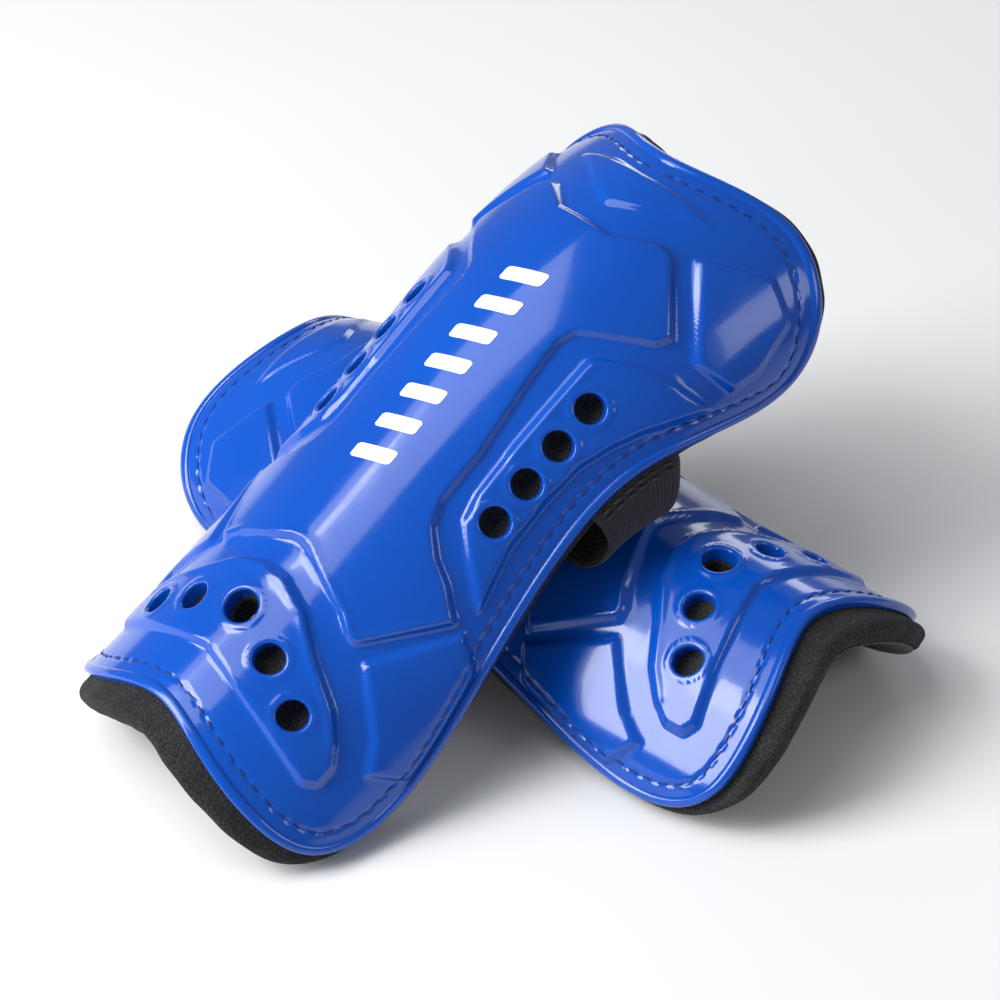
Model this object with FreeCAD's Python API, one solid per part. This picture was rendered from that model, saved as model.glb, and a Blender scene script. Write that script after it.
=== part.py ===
"""A crossed pair of strap-on shin guards: one lies open side down, the other leans across it.

Row frame, millimetres: +Z up, origin on the floor under the middle of the lower guard,
+Y along the lower guard towards the knee.
Guard frame: origin on the crest at mid length, +X across, +Y towards the knee, +Z outwards.
A place on a guard is an angle round the leg (0 on the crest, + towards +X) and a length y.
"""
import FreeCAD, Part
import math
import os
from FreeCAD import Matrix, Placement, Rotation, Vector

os.makedirs("parts", exist_ok=True)

# ---- driving dimensions of one guard ----
LENGTH = 219.0           # shell, tip of a knee lobe to tip of an ankle lobe
HALF_WIDTH = 50.5        # shell's half width at mid length, on the ellipse
WIDTH_FLARE = 1.5        # growth of the half width from mid length to the knee end
ARCH_DEPTH = 47.0        # crest down to where the flanks stand upright
SQUARENESS = 0.054       # how much fuller than an ellipse the shoulders are
KNEE_DROP = 20.7         # how far the crest bends down at the knee end
ANKLE_RISE = 7.8         # how far the crest flares up at the ankle end
SHELL_T = 2.0
FOAM_T = 7.0
LINING_T = 0.8
OVERHANG = 4.5           # foam beyond the shell's edge
NOTCH_OVERHANG = 5.5     # extra foam at the ankle notch
HOLE_D = 8.4
MIDDLE_HOLE_D = 9.6      # the ankle hole on the crest
PERFORATION_D = 8.4      # hole through foam and lining under that one
FLANK_HOLE_PITCH = 13.2
FLANK_HOLE_ANGLE = 45.0
FLANK_HOLE_Y = 11.0      # middle of the row of four
ANKLE_HOLES = [(0.0, 32.0), (21.0, 26.0), (38.0, 18.5)]  # angle, distance from the ankle notch
STITCH_INSET = 6.5
STITCH_PITCH = 5.0
STITCH_LENGTH = 3.4
THREAD_D = 0.7
STRAP_WIDTH = 30.0
STRAP_T = 1.6
STRAP_Y = 24.0           # strap's middle, towards the knee
PATCH_T = 1.2            # hook or loop patch
STRAP_INWARD = 12.0      # how far the strap tucks in under the flank
MARK_BARS = 7
MARK_PITCH = 10.5
MARK_HEIGHT = 14.0       # round the leg
MARK_BAR = 4.6
MARK_SLANT = 4.0
MARK_T = 0.3
MARK_Y = 17.0
FIT_GAP = 0.3            # soft pieces from their neighbours
SKIN_GAP = 0.02          # bonded layers
RELIEF_ROOM = 2.8        # raised panels of the lower shell, kept clear under the upper strap

# ---- how the pair lies ----
LOWER_PITCH = 6.25
UPPER_YAW = -94.5
UPPER_ROLL = 3.0
UPPER_PITCH = 33.25
UPPER_X = -48.5
UPPER_Y = 2.3

HALF = LENGTH / 2
BASE_HALF = 109.5        # half length that the edge outline below is drawn for

# Edge of the shell, knee middle to ankle middle: degrees round the leg and y, as the control
# points of a closed uniform cubic B-spline, mirrored onto the other flank.
OUTLINE = [(0, 100), (37, 112), (60, 107), (100, 79), (88, 58), (67, 29), (66, 0), (71, -30),
           (78, -55), (88, -90), (71, -114), (30, -107), (0, -97)]
STATIONS = len(OUTLINE) - 1
KNEE_CORNER = 2.5        # outline stations at the outermost part of each lobe
ANKLE_CORNER = 9.5


def control(i):
    i %= 2 * STATIONS
    side = 1
    if i > STATIONS:
        i = 2 * STATIONS - i
        side = -1
    angle, y = OUTLINE[i]
    return side * math.radians(angle), y * HALF / BASE_HALF


def edge(s):
    """The shell's edge at station s as (angle, y); -s is the same place on the other flank."""
    i = math.floor(s)
    u = s - i
    weights = ((1 - u) ** 3, 3 * u ** 3 - 6 * u ** 2 + 4, -3 * u ** 3 + 3 * u ** 2 + 3 * u + 1, u ** 3)
    points = [control(i - 1 + k) for k in range(4)]
    return tuple(sum(w * p[axis] for w, p in zip(weights, points)) / 6 for axis in (0, 1))


def surface(angle, y):
    """A point on the shell's outer face."""
    t = y / HALF
    half = HALF_WIDTH + WIDTH_FLARE * t
    crest = -(KNEE_DROP + ANKLE_RISE) / 2 * t ** 3 - (KNEE_DROP - ANKLE_RISE) / 2 * t ** 4
    x = half * (math.sin(angle) - SQUARENESS * math.sin(3 * angle))
    return Vector(x, y, crest - ARCH_DEPTH * (1 - math.cos(angle)))


def tangents(angle, y):
    step = 1e-4
    around = (surface(angle + step, y) - surface(angle - step, y)) / (2 * step)
    along = (surface(angle, y + step) - surface(angle, y - step)) / (2 * step)
    return around, along


def outer(angle, y, lift=0.0):
    """A point lifted off the outer face along its normal; negative is towards the leg."""
    around, along = tangents(angle, y)
    return surface(angle, y) + around.cross(along).normalize() * lift


def shifted_edge(s, out):
    """The edge moved outwards along the face by a distance in millimetres."""
    angle, y = edge(s)
    ahead = edge(s + 0.01)
    behind = edge(s - 0.01)
    radius = tangents(angle, y)[0].Length
    da = (ahead[0] - behind[0]) * radius
    dy = ahead[1] - behind[1]
    size = math.hypot(da, dy)
    return angle - out * dy / size / radius, y + out * da / size


def overhang(s):
    """Foam beyond the shell's edge, with a longer lip at the ankle notch."""
    turn = (s % (2 * STATIONS)) - STATIONS
    return OVERHANG + NOTCH_OVERHANG * math.exp(-(turn / 1.6) ** 2)


def patch_grid(border, across=27, along=45):
    """Angle and y over the area inside a border, as a four-sided net."""
    bottom = lambda u: border(STATIONS + (1 - 2 * u) * (STATIONS - ANKLE_CORNER))
    top = lambda u: border((2 * u - 1) * KNEE_CORNER)
    right = lambda v: border(ANKLE_CORNER + v * (KNEE_CORNER - ANKLE_CORNER))
    left = lambda v: border(-ANKLE_CORNER - v * (KNEE_CORNER - ANKLE_CORNER))
    grid = []
    for i in range(across):
        u = i / (across - 1)
        row = []
        for j in range(along):
            v = j / (along - 1)
            point = []
            for axis in (0, 1):
                sides = (1 - v) * bottom(u)[axis] + v * top(u)[axis]
                sides += (1 - u) * left(v)[axis] + u * right(v)[axis]
                corners = (1 - u) * ((1 - v) * bottom(0)[axis] + v * top(0)[axis])
                corners += u * ((1 - v) * bottom(1)[axis] + v * top(1)[axis])
                point.append(sides - corners)
            row.append(tuple(point))
        grid.append(row)
    return grid


def slab(upper, lower):
    """A closed solid between two nets of points with the same layout."""
    skins = []
    for net in (upper, lower):
        skin = Part.BSplineSurface()
        skin.interpolate(net)
        skins.append(skin)
    faces = [skin.toShape() for skin in skins]
    u0, u1, v0, v1 = skins[0].bounds()
    w0, w1, x0, x1 = skins[1].bounds()
    for mine, other in ((skins[0].uIso(u0), skins[1].uIso(w0)), (skins[0].uIso(u1), skins[1].uIso(w1)),
                        (skins[0].vIso(v0), skins[1].vIso(x0)), (skins[0].vIso(v1), skins[1].vIso(x1))):
        faces.append(Part.makeRuledSurface(mine.toShape(), other.toShape()))
    skin = Part.makeCompound(faces)
    skin.sewShape()
    solid = Part.Solid(Part.Shell(skin.Faces))
    if solid.Volume < 0:
        solid.reverse()
    return solid


def faceted(upper, lower):
    """A closed solid between two nets of points, in small ruled facets."""
    faces = []

    def facet(a, b, c, d):
        faces.append(Part.makeRuledSurface(Part.makeLine(a, b), Part.makeLine(d, c)))

    last_row = len(upper) - 1
    last_column = len(upper[0]) - 1
    for i in range(last_row):
        for j in range(last_column):
            for net in (upper, lower):
                facet(net[i][j], net[i][j + 1], net[i + 1][j + 1], net[i + 1][j])
        for j in (0, last_column):
            facet(upper[i][j], lower[i][j], lower[i + 1][j], upper[i + 1][j])
    for i in (0, last_row):
        for j in range(last_column):
            facet(upper[i][j], upper[i][j + 1], lower[i][j + 1], lower[i][j])
    skin = Part.makeCompound(faces)
    skin.sewShape()
    solid = Part.Solid(Part.Shell(skin.Faces))
    if solid.Volume < 0:
        solid.reverse()
    return solid


def evenly_spaced(rows, count):
    """The same band with its rows respaced evenly along smooth curves."""
    columns = []
    for j in range(len(rows[0])):
        curve = Part.BSplineCurve()
        curve.interpolate([row[j] for row in rows])
        columns.append(curve.discretize(Number=count))
    return [[column[i] for column in columns] for i in range(count)]


def band(rows, thickness, count=12):
    """A band of even thickness about rows of centre points."""
    centre = evenly_spaced(rows, count)
    nets = ([], [])
    for i, row in enumerate(centre):
        sides = ([], [])
        for j, point in enumerate(row):
            along = centre[min(i + 1, count - 1)][j] - centre[max(i - 1, 0)][j]
            across = row[min(j + 1, len(row) - 1)] - row[max(j - 1, 0)]
            normal = along.cross(across).normalize() * (thickness / 2)
            sides[0].append(point + normal)
            sides[1].append(point - normal)
        nets[0].append(sides[0])
        nets[1].append(sides[1])
    return faceted(*nets)


def foam_reach(rotation):
    """How far the foam reaches below the guard's origin once it is turned."""
    lowest = 0.0
    for k in range(8 * STATIONS):
        s = k / 4
        place = shifted_edge(s, overhang(s))
        for depth in (SHELL_T, SHELL_T + FOAM_T):
            lowest = min(lowest, rotation.multVec(outer(*place, -depth)).z)
    return -lowest


lower_turn = Rotation(Vector(1, 0, 0), LOWER_PITCH)
upper_turn = (Rotation(Vector(0, 0, 1), UPPER_YAW) * Rotation(Vector(0, 1, 0), UPPER_ROLL)
              * Rotation(Vector(1, 0, 0), UPPER_PITCH))
LOWER = Placement(Vector(0, 0, foam_reach(lower_turn)), lower_turn)
UPPER = Placement(Vector(UPPER_X, UPPER_Y, foam_reach(upper_turn)), upper_turn)


def floor_height(x, y):
    return 0.0


def lower_crest_height(x, y):
    """Height of the lower shell above the floor under a point, with room for its raised panels."""
    angle = math.asin(max(-0.98, min(0.98, x / HALF_WIDTH)))
    along = y
    for _ in range(12):
        point = LOWER.multVec(outer(angle, along, RELIEF_ROOM))
        angle += 0.8 * (x - point.x) / HALF_WIDTH
        along += y - point.y
    return point.z


# ---- shell, foam and lining ----
def layer(place, border, top, bottom):
    net = patch_grid(border)
    upper = [[place.multVec(outer(a, y, -top)) for a, y in row] for row in net]
    lower = [[place.multVec(outer(a, y, -bottom)) for a, y in row] for row in net]
    return slab(upper, lower)


def drill(place, angle, y, diameter, depth):
    """A cutter straight through the layers at one place."""
    start = place.multVec(outer(angle, y, 3.0))
    end = place.multVec(outer(angle, y, -depth))
    return Part.makeCylinder(diameter / 2, (end - start).Length, start, end - start)


def ankle_hole_places():
    notch = edge(STATIONS)[1]
    places = [(math.radians(angle), notch + rise) for angle, rise in ANKLE_HOLES]
    return places + [(-angle, y) for angle, y in places if angle]


def flank_hole_places():
    rows = [FLANK_HOLE_Y + FLANK_HOLE_PITCH * (k - 1.5) for k in range(4)]
    return [(side * math.radians(FLANK_HOLE_ANGLE), y) for side in (1, -1) for y in rows]


def shell(place):
    body = layer(place, edge, 0.0, SHELL_T)
    for angle, y in ankle_hole_places() + flank_hole_places():
        diameter = HOLE_D if angle else MIDDLE_HOLE_D
        body = body.cut(drill(place, angle, y, diameter, SHELL_T + 3.0))
    return body


def foam_pad(place):
    border = lambda s: shifted_edge(s, overhang(s))
    body = layer(place, border, SHELL_T + SKIN_GAP, SHELL_T + FOAM_T)
    return body.cut(drill(place, *ankle_hole_places()[0], PERFORATION_D, SHELL_T + FOAM_T + 5.0))


def lining(place):
    border = lambda s: shifted_edge(s, overhang(s) - 1.0)
    top = SHELL_T + FOAM_T + SKIN_GAP
    body = layer(place, border, top, top + LINING_T)
    return body.cut(drill(place, *ankle_hole_places()[0], PERFORATION_D, top + LINING_T + 5.0))


# ---- thread ----
def stitch(point, ahead, normal, length):
    """One short stitch lying on a face."""
    forward = (ahead - point).normalize()
    side = normal.cross(forward).normalize()
    up = forward.cross(side)
    corner = point - forward * (length / 2) - side * (THREAD_D / 2) + up * SKIN_GAP
    box = Part.makeBox(length, THREAD_D, THREAD_D / 2)
    turn = Matrix(forward.x, side.x, up.x, corner.x, forward.y, side.y, up.y, corner.y,
                  forward.z, side.z, up.z, corner.z, 0, 0, 0, 1)
    box.Placement = Placement(turn)
    return box


def edge_stitching(place):
    """Lockstitch round the shell, evenly spaced along the edge."""
    fine = [shifted_edge(k / 20, -STITCH_INSET) for k in range(40 * STATIONS + 1)]
    points = [outer(angle, y) for angle, y in fine]
    stitches = []
    travelled = 0.0
    for k in range(1, len(points)):
        travelled += (points[k] - points[k - 1]).Length
        if travelled >= STITCH_PITCH:
            travelled -= STITCH_PITCH
            here = place.multVec(points[k])
            ahead = place.multVec(points[min(k + 1, len(points) - 1)])
            if (ahead - here).Length < 1e-6:
                continue
            around, along = tangents(*fine[k])
            normal = place.Rotation.multVec(around.cross(along).normalize())
            stitches.append(stitch(here, ahead, normal, STITCH_LENGTH))
    return Part.makeCompound(stitches)


def printed_mark(place):
    """A plain row of slanted bars across the crest."""
    bars = []
    half_angle = MARK_HEIGHT / 2 / HALF_WIDTH
    for k in range(MARK_BARS):
        middle = MARK_Y + MARK_PITCH * (k - (MARK_BARS - 1) / 2)
        upper = []
        lower = []
        for i in range(5):
            across = i / 2 - 1
            start = middle + MARK_SLANT / 2 * across - MARK_BAR / 2
            rows = [(across * half_angle, start + MARK_BAR * j / 3) for j in range(4)]
            upper.append([place.multVec(outer(a, y, SKIN_GAP + MARK_T)) for a, y in rows])
            lower.append([place.multVec(outer(a, y, SKIN_GAP)) for a, y in rows])
        bars.append(slab(upper, lower))
    return Part.makeCompound(bars)


# ---- strap ----
LAYER_GAP = 510.0 / HALF_WIDTH ** 2   # patch from its band: more where a narrower crest curves more
THREAD_LIFT = 0.2        # of the straight stitches off a band that curves under them
LIFT_TAB = STRAP_T + 2 * PATCH_T + 2 * LAYER_GAP + FIT_GAP   # how much higher the closing band runs
SPLIT = 0.64             # where the closing band bends when it is peeled, as a part of the run


def flank_station(y, side):
    """The edge station on a flank's waist at a given y."""
    low, high = 4.5, 7.5
    for _ in range(40):
        middle = (low + high) / 2
        if edge(middle)[1] > y:
            low = middle
        else:
            high = middle
    return side * middle


def strap_rows(place, support, side, lift):
    """Centre points of a band: down from one flank, and where it lands, for five widths."""
    columns = []
    for k in range(5):
        y = STRAP_Y + STRAP_WIDTH * (k / 4 - 0.5)
        s = flank_station(y, side)
        depth = STRAP_T / 2 + 0.1
        drop = [(0.5, SHELL_T - 1.0), (3.0, SHELL_T - 1.1), (6.2, SHELL_T - 0.6)]
        points = [place.multVec(outer(*shifted_edge(s, out), -deep)) for out, deep in drop]
        inward = place.Rotation.multVec(Vector(-side, 0, 0))
        inward.z = 0
        inward.normalize()
        land = points[-1] + inward * STRAP_INWARD
        land.z = support(land.x, land.y) + FIT_GAP + depth + lift
        last = points[-1]
        down = (last - points[-2]).normalize()
        reach = (land - last).Length * 0.45
        bend = [last, last + down * reach, land - inward * reach, land]
        curve = []
        for t in (0.25, 0.5, 0.75, 1.0):
            mix = ((1 - t) ** 3, 3 * t * (1 - t) ** 2, 3 * t * t * (1 - t), t ** 3)
            curve.append(sum((p * w for p, w in zip(bend, mix)), Vector()))
        columns.append(points + curve)
    return columns


def run_points(starts, ends, support, lift, first, last, steps):
    """Centre points along the stretch that lies down, between two landing rows."""
    rows = []
    for i in range(steps + 1):
        part = first + (last - first) * i / steps
        row = []
        for a, b in zip(starts, ends):
            point = a + (b - a) * part
            point.z = support(point.x, point.y) + FIT_GAP + STRAP_T / 2 + 0.1 + lift
            row.append(point)
        rows.append(row)
    return rows


def landings(place, support):
    """Rows of centre points where the strap and the closing band come to lie down."""
    starts = [column[-1] for column in strap_rows(place, support, 1, 0.0)]
    ends = [column[-1] for column in strap_rows(place, support, -1, LIFT_TAB)]
    return starts, ends


def row_of_stitches(points, normals):
    """A stitch in the middle of each step between neighbouring points."""
    stitches = []
    for k in range(len(points) - 1):
        middle = (points[k] + points[k + 1]) * 0.5
        stitches.append(stitch(middle, points[k + 1], normals[k], STITCH_LENGTH))
    return stitches


def strap_stitching(place):
    """The rows that sew both bands down beside the shell's edge."""
    stitches = []
    for side in (1, -1):
        for out in (2.0, 4.0):
            points = []
            normals = []
            for k in range(7):
                y = STRAP_Y + (STRAP_WIDTH - 4.0) * (k / 6 - 0.5)
                spot = shifted_edge(flank_station(y, side), out)
                around, along = tangents(*spot)
                points.append(place.multVec(outer(*spot, 0.1)))
                normals.append(place.Rotation.multVec(around.cross(along).normalize()))
            stitches += row_of_stitches(points, normals)
    return Part.makeCompound(stitches)


def patch_stitching(run):
    """The stitched rectangle on the peeling end, over the hook patch."""
    top = LIFT_TAB + STRAP_T / 2 + THREAD_LIFT
    rows = run(0.34, 0.58, 5, top)
    inset = [[(row[0] * 3 + row[1]) * 0.25] + row[1:4] + [(row[3] + row[4] * 3) * 0.25] for row in rows]
    up = [Vector(0, 0, 1)] * 6
    stitches = row_of_stitches(inset[0], up) + row_of_stitches(inset[-1], up)
    for column in (0, -1):
        stitches += row_of_stitches([row[column] for row in inset], up)
    return Part.makeCompound(stitches)


def strap_pieces(place, support):
    right = strap_rows(place, support, 1, 0.0)
    left = strap_rows(place, support, -1, LIFT_TAB)
    starts, ends = landings(place, support)
    run = lambda first, last, steps, lift: run_points(starts, ends, support, lift, first, last, steps)
    fall = [[column[i] for column in right] for i in range(len(right[0]) - 1)]
    rise = [[column[i] for column in left] for i in range(len(left[0]) - 1)]
    gap = FIT_GAP / 2 / (ends[2] - starts[2]).Length
    loop_lift = STRAP_T / 2 + PATCH_T / 2 + LAYER_GAP
    hook_lift = loop_lift + PATCH_T + FIT_GAP
    return {
        "strap": band(fall + run(0.0, 0.62, 6, 0.0), STRAP_T, 22),
        "loop_patch": band(run(0.32, 0.60, 5, loop_lift), PATCH_T),
        "hook_patch": band(run(0.32, 0.60, 5, hook_lift), PATCH_T),
        "tab_end": band(run(0.26, SPLIT - gap, 5, LIFT_TAB), STRAP_T),
        "closing_band": band(rise + run(1.0, SPLIT + gap, 4, LIFT_TAB), STRAP_T, 18),
        "patch_stitching": patch_stitching(run),
        "strap_stitching": strap_stitching(place),
    }


def build():
    pieces = {}
    for name, place, support in (("lower", LOWER, floor_height), ("upper", UPPER, lower_crest_height)):
        pieces[name + "_shell"] = shell(place)
        pieces[name + "_foam_pad"] = foam_pad(place)
        pieces[name + "_lining"] = lining(place)
        pieces[name + "_edge_stitching"] = edge_stitching(place)
        pieces[name + "_printed_mark"] = printed_mark(place)
        for piece, solid in strap_pieces(place, support).items():
            pieces[name + "_" + piece] = solid
    return pieces


for node, shape in build().items():
    shape.exportStep("parts/%s.step" % node)
    print(node, shape.isValid(), len(shape.Solids), round(shape.Volume), "mm3")
for name, place, support in (("lower", LOWER, floor_height), ("upper", UPPER, lower_crest_height)):
    fold = run_points(*landings(place, support), support, LIFT_TAB + STRAP_T / 2, SPLIT, SPLIT, 1)[0]
    chord = [fold[0] + (fold[-1] - fold[0]) * (k / 4) for k in range(5)]
    crown = Vector(0, 0, max(point.z - below.z for point, below in zip(fold, chord)))
    print(name, "guard's origin", place.Base, "peel fold from", fold[0] + crown, "to", fold[-1] + crown)
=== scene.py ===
"""Looks for a crossed pair of shin guards: glossy moulded shells on foam, with elastic straps."""
import math

import bpy
import numpy as np
from mathutils import Matrix, Vector


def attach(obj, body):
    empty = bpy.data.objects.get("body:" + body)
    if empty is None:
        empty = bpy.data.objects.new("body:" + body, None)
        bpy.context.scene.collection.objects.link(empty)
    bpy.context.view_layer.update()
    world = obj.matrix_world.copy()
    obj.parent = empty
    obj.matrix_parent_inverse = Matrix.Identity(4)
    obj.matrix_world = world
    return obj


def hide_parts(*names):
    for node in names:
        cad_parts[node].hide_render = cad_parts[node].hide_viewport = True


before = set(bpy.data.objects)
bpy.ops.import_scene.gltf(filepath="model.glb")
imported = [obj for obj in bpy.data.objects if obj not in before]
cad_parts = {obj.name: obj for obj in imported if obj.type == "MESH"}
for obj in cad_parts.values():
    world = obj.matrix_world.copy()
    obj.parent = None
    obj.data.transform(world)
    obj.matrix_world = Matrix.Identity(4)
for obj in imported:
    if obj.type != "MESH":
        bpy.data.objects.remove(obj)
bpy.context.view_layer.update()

MM = 0.001

# ---- one guard, in millimetres and degrees: the sizes of the CAD model ----
# A place on a guard is an angle round the leg (0 on the crest) and a length y, + towards the knee.
LENGTH = 219.0           # shell, tip of a knee lobe to tip of an ankle lobe
HALF_WIDTH = 50.5        # at mid length, on the ellipse
WIDTH_FLARE = 1.5        # growth of the half width from mid length to the knee end
ARCH_DEPTH = 47.0        # crest down to where the flanks stand upright
SQUARENESS = 0.054       # how much fuller than an ellipse the shoulders are
KNEE_DROP = 20.7         # how far the crest bends down at the knee end
ANKLE_RISE = 7.8         # how far the crest flares up at the ankle end
SHELL_T = 2.0
FOAM_T = 7.0
LINING_T = 0.8
OVERHANG = 4.5           # foam beyond the shell's edge
NOTCH_OVERHANG = 5.5     # extra foam at the ankle notch
NOTCH_REACH = 1.6        # how far that goes round the edge, in stations
HOLE_D = 8.4
MIDDLE_HOLE_D = 9.6      # the ankle hole on the crest
PERFORATION_D = 8.4      # hole through foam and lining under that one
FLANK_HOLE_PITCH = 13.2
FLANK_HOLE_ANGLE = 45.0
FLANK_HOLE_Y = 11.0
ANKLE_HOLES = [(0.0, 32.0), (21.0, 26.0), (38.0, 18.5)]  # angle, distance from the ankle notch
STITCH_INSET = 6.5
STITCH_PITCH = 5.0
STITCH_LENGTH = 3.4
THREAD_D = 0.7
STRAP_WIDTH = 30.0
STRAP_T = 1.6
STRAP_Y = 24.0           # strap's middle, towards the knee
PATCH_T = 1.2            # hook or loop patch
STRAP_INWARD = 12.0      # how far the strap tucks in under the flank
MARK_BARS = 7
MARK_PITCH = 10.5
MARK_HEIGHT = 14.0
MARK_BAR = 4.6
MARK_SLANT = 4.0
MARK_Y = 17.0
FIT_GAP = 0.3            # soft pieces from their neighbours
LAYER_GAP = 510.0 / HALF_WIDTH ** 2  # between the layers of the closed strap
RELIEF_ROOM = 2.8        # kept clear over the lower crest, under the upper strap
BOND_GAP = 0.03          # between layers that are glued together

# ---- how the pair lies ----
LOWER_PITCH = 6.25
UPPER_YAW = -94.5
UPPER_ROLL = 3.0
UPPER_PITCH = 33.25
UPPER_X = -48.5
UPPER_Y = 2.3

HALF = LENGTH / 2
# Control points of the edge, knee middle to ankle middle, mirrored onto the other flank.
OUTLINE = np.array([(0, 100), (37, 112), (60, 107), (100, 79), (88, 58), (67, 29), (66, 0), (71, -30),
                    (78, -55), (88, -90), (71, -114), (30, -107), (0, -97)], float)
STATIONS = len(OUTLINE) - 1
KNEE_CORNER = 2.5        # outline stations at the outermost part of each lobe
ANKLE_CORNER = 9.5

# ---- raised areas of the shell: outline (degrees, y), height and width of the sloped side ----
CENTRE_PANEL = [(0, 72), (12, 72), (26, 78.5), (32, 78), (49, 60), (47, 56), (40, 52), (27, 44.5),
                (25, 39.6), (26, 27), (29, 3), (29, -13), (32, -20), (39, -26), (46, -29.5),
                (54.5, -36), (37, -57), (34, -56.6), (28, -53), (19, -50), (4, -45), (0, -44.5)]
FLANK_POD = [(36, 41), (38.5, 43), (43, 45.5), (50, 48.3), (59, 51), (73, 53), (67, 44), (61, 35),
             (57, 27), (53.5, 17), (52.5, 4), (53, -12), (58, -30), (46, -21), (38, -14), (36, -6),
             (35.5, 11)]
KNEE_POD = [(37, 82), (59, 59), (74, 61), (76, 70), (70, 86), (55.5, 92)]
ANKLE_POD = [(0, -55.5), (5, -55), (19, -59), (32, -67), (45, -74), (53, -81), (57, -86), (57, -92),
             (53, -94), (34.5, -89), (12, -84), (0, -82)]
ANKLE_PANEL = [(59, -37), (43, -60), (60, -74), (66, -82), (78, -76), (74, -45)]
KNEE_LENS = [(0, 93.5), (15, 94), (25, 93.4), (32, 92.3), (22, 89), (11.5, 84), (0, 80)]
RELIEF = [(CENTRE_PANEL, 2.0, 2.0), (FLANK_POD, 1.8, 2.2), (KNEE_POD, 2.1, 2.1), (ANKLE_POD, 1.9, 2.0),
          (ANKLE_PANEL, 1.8, 2.0), (KNEE_LENS, 0.9, 2.2)]
RIDGES = [  # raised lips: path, height, half width
    ([(54.5, -36), (37, -57), (34, -56.6), (28, -53), (19, -50), (4, -45), (0, -44.5)], 0.6, 1.5),
    ([(0, -56.5), (5, -56), (19, -60), (32, -68), (45, -75), (52, -81)], 0.5, 1.4),
    ([(36.5, 8), (36.5, 40), (39, 43), (43, 46), (50, 49), (59, 51.5)], 0.4, 1.4),
]
MM_PER_DEGREE = math.radians(HALF_WIDTH)
RELIEF_CELL = 0.4        # mesh of the net that holds the heights
RELIEF_BLUR = 0.5
BEAD_WIDTH = 3.0         # rolled edge of the shell
BEAD_HEIGHT = 0.9
LIP_HEIGHT = 0.45        # raised lip round a vent hole
LIP_WIDTH = 1.1
LIP_OUT = 1.0            # from the hole's wall to the lip's top


# ---- surface of a guard ----
def edge(s):
    """The shell's edge at stations s as angle and y; -s is the same place on the other flank."""
    s = np.asarray(s, float)
    i = np.floor(s).astype(int)
    u = s - i
    weights = ((1 - u) ** 3, 3 * u ** 3 - 6 * u ** 2 + 4, -3 * u ** 3 + 3 * u ** 2 + 3 * u + 1, u ** 3)
    angle = np.zeros_like(u)
    y = np.zeros_like(u)
    for k, weight in enumerate(weights):
        index = (i - 1 + k) % (2 * STATIONS)
        side = np.where(index > STATIONS, -1, 1)
        index = np.where(index > STATIONS, 2 * STATIONS - index, index)
        angle = angle + weight * side * OUTLINE[index, 0] / 6
        y = y + weight * OUTLINE[index, 1] / 6
    return np.radians(angle), y


def surface(angle, y):
    """Points on the plain outer face, in the guard's own frame."""
    t = y / HALF
    half = HALF_WIDTH + WIDTH_FLARE * t
    crest = -(KNEE_DROP + ANKLE_RISE) / 2 * t ** 3 - (KNEE_DROP - ANKLE_RISE) / 2 * t ** 4
    x = half * (np.sin(angle) - SQUARENESS * np.sin(3 * angle))
    return np.stack([x, y, crest - ARCH_DEPTH * (1 - np.cos(angle))], -1)


def unit(v):
    return v / np.linalg.norm(v, axis=-1, keepdims=True)


def normal(angle, y):
    step = 1e-4
    around = surface(angle + step, y) - surface(angle - step, y)
    along = surface(angle, y + step) - surface(angle, y - step)
    return unit(np.cross(around, along))


def outer(angle, y, lift=0.0):
    """Points lifted off the outer face along its normal; negative is towards the leg."""
    angle, y = np.broadcast_arrays(np.asarray(angle, float), np.asarray(y, float))
    return surface(angle, y) + normal(angle, y) * np.asarray(lift, float)[..., None]


def shifted_edge(s, out):
    """The edge moved outwards along the face by a distance in millimetres."""
    s, out = np.broadcast_arrays(np.asarray(s, float), np.asarray(out, float))
    angle, y = edge(s)
    a1, y1 = edge(s + 0.01)
    a0, y0 = edge(s - 0.01)
    radius = np.linalg.norm(surface(angle + 1e-4, y) - surface(angle - 1e-4, y), axis=-1) / 2e-4
    da = (a1 - a0) * radius
    dy = y1 - y0
    size = np.hypot(da, dy)
    return angle - out * dy / size / radius, y + out * da / size


def overhang(s):
    """How far the foam stands out past the shell's edge."""
    from_notch = (np.asarray(s, float) % (2 * STATIONS)) - STATIONS
    return OVERHANG + NOTCH_OVERHANG * np.exp(-(from_notch / NOTCH_REACH) ** 2)


# ---- relief ----
def polygon_depth(px, py, corners):
    """Signed distance to a polygon, positive inside."""
    best = np.full(px.shape, 1e9)
    inside = np.zeros(px.shape, bool)
    for k in range(len(corners)):
        ax, ay = corners[k]
        bx, by = corners[(k + 1) % len(corners)]
        ex, ey = bx - ax, by - ay
        t = np.clip(((px - ax) * ex + (py - ay) * ey) / (ex * ex + ey * ey), 0, 1)
        best = np.minimum(best, np.hypot(px - ax - t * ex, py - ay - t * ey))
        crosses = (ay > py) != (by > py)
        slope = np.where(by == ay, 1e-9, by - ay)
        inside ^= crosses & (px < ax + (py - ay) * ex / slope)
    return np.where(inside, best, -best)


def smooth(t):
    t = np.clip(t, 0, 1)
    return t * t * (3 - 2 * t)


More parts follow.
